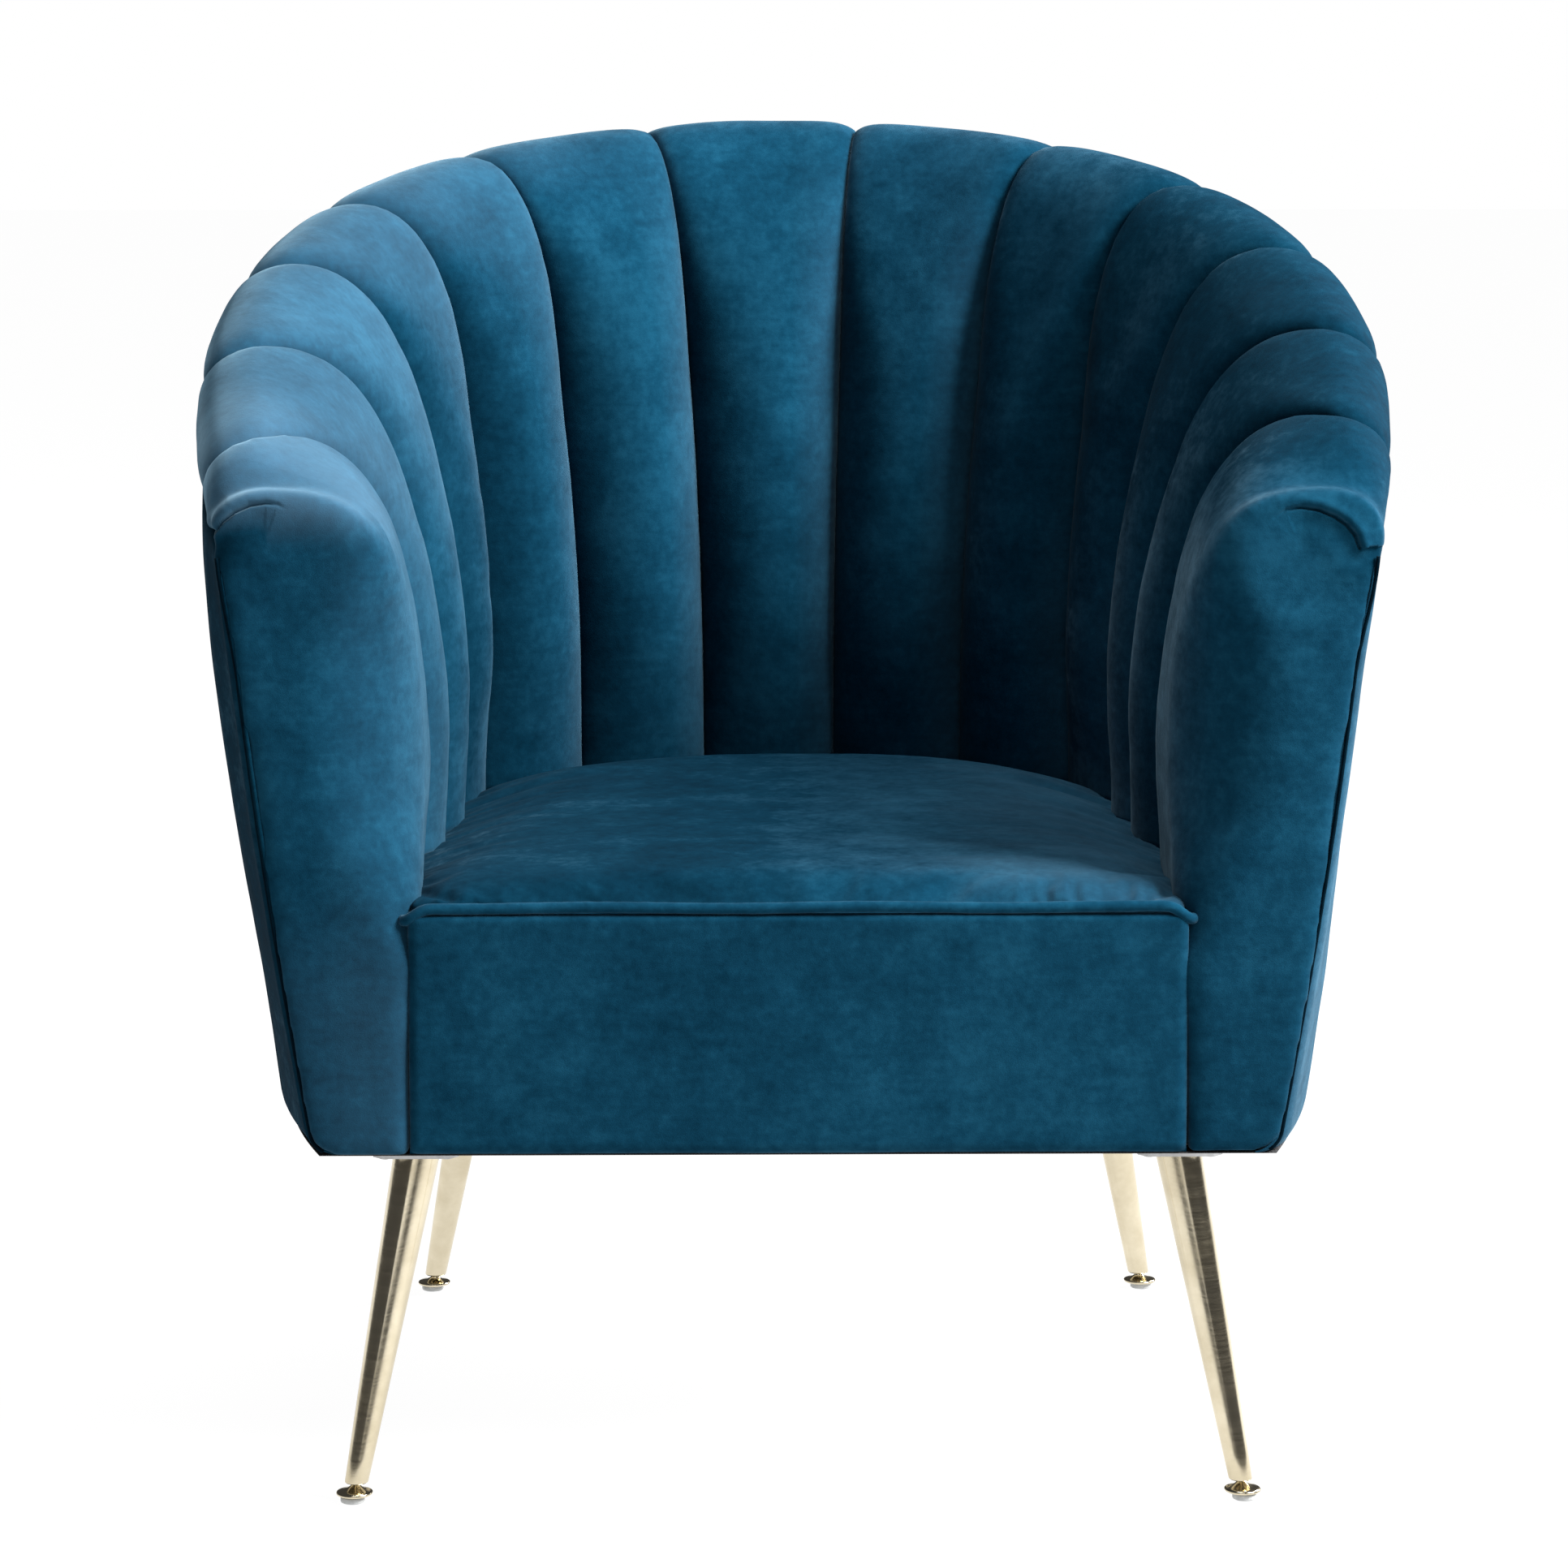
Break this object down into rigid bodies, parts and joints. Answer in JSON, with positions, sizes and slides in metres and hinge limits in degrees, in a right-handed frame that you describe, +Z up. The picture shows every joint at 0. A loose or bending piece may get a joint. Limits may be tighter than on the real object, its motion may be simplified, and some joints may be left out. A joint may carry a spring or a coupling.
{
  "type": "upholstered armchair",
  "caption": "Tub armchair with a channelled horseshoe back and arms, fixed sprung seat, and splayed tapered metal legs that end in levelling glides",
  "frame": {"origin": "middle of the footprint of the whole chair, on the floor", "axes": "X runs across the chair, +X to the right of a viewer who faces it; Y runs from the front to the back, -Y is where a sitter's legs are; Z is up"},
  "size_m": [0.772, 0.7629, 0.8413],
  "materials": {
    "velvet": "deep petrol-blue velvet with a soft sheen",
    "timber": "unfinished sawn softwood",
    "plywood": "unfinished plywood",
    "steel": "zinc-plated steel",
    "gold_metal": "polished champagne-gold plating on steel",
    "glide_pad": "translucent grey nylon",
    "foam": "open-cell polyurethane foam",
    "platform_cloth": "felted insulator cloth",
    "dust_cloth": "black non-woven cloth"
  },
  "bodies": {
    "root": {"channel_01": "velvet", "channel_02": "velvet", "channel_03": "velvet", "channel_04": "velvet", "channel_05": "velvet", "channel_06": "velvet", "channel_07": "velvet", "channel_08": "velvet", "channel_09": "velvet", "channel_10": "velvet", "channel_11": "velvet", "front_channel_left": "velvet", "front_channel_right": "velvet", "arm_front_left": "velvet", "arm_front_right": "velvet", "outer_cover": "velvet", "seat_cushion": "velvet", "seat_front_panel": "velvet", "seat_piping": "velvet", "front_rail": "timber", "arm_post_left": "timber", "arm_post_right": "timber", "corner_block_front_left": "timber", "corner_block_front_right": "timber", "corner_block_rear_left": "timber", "corner_block_rear_right": "timber", "back_rib_1": "timber", "back_rib_2": "timber", "back_rib_3": "timber", "back_rib_4": "timber", "back_rib_5": "timber", "base_rail": "plywood", "top_rim": "plywood", "inner_back_board": "plywood", "sinuous_spring_1": "steel", "sinuous_spring_2": "steel", "sinuous_spring_3": "steel", "sinuous_spring_4": "steel", "sinuous_spring_5": "steel", "leg_plate_front_left": "steel", "leg_plate_front_right": "steel", "leg_plate_rear_left": "steel", "leg_plate_rear_right": "steel", "leg_front_left": "gold_metal", "leg_front_right": "gold_metal", "leg_rear_left": "gold_metal", "leg_rear_right": "gold_metal", "seat_foam": "foam", "platform_cloth": "platform_cloth", "dust_cover": "dust_cloth"},
    "levelling_foot_front_left": {"glide_front_left": "gold_metal", "glide_pad_front_left": "glide_pad"},
    "levelling_foot_front_right": {"glide_front_right": "gold_metal", "glide_pad_front_right": "glide_pad"},
    "levelling_foot_rear_left": {"glide_rear_left": "gold_metal", "glide_pad_rear_left": "glide_pad"},
    "levelling_foot_rear_right": {"glide_rear_right": "gold_metal", "glide_pad_rear_right": "glide_pad"}
  },
  "joints": [
    {"name": "foot_travel_front_left", "type": "slide", "parent": "root", "child": "levelling_foot_front_left", "axis": [-0.1806, -0.2113, -0.9606], "range_m": [0, 0.008]},
    {"name": "foot_travel_front_right", "type": "slide", "parent": "root", "child": "levelling_foot_front_right", "axis": [0.1806, -0.2113, -0.9606], "range_m": [0, 0.008]},
    {"name": "foot_travel_rear_left", "type": "slide", "parent": "root", "child": "levelling_foot_rear_left", "axis": [-0.1806, 0.2113, -0.9606], "range_m": [0, 0.008]},
    {"name": "foot_travel_rear_right", "type": "slide", "parent": "root", "child": "levelling_foot_rear_right", "axis": [0.1806, 0.2113, -0.9606], "range_m": [0, 0.008]}
  ]
}
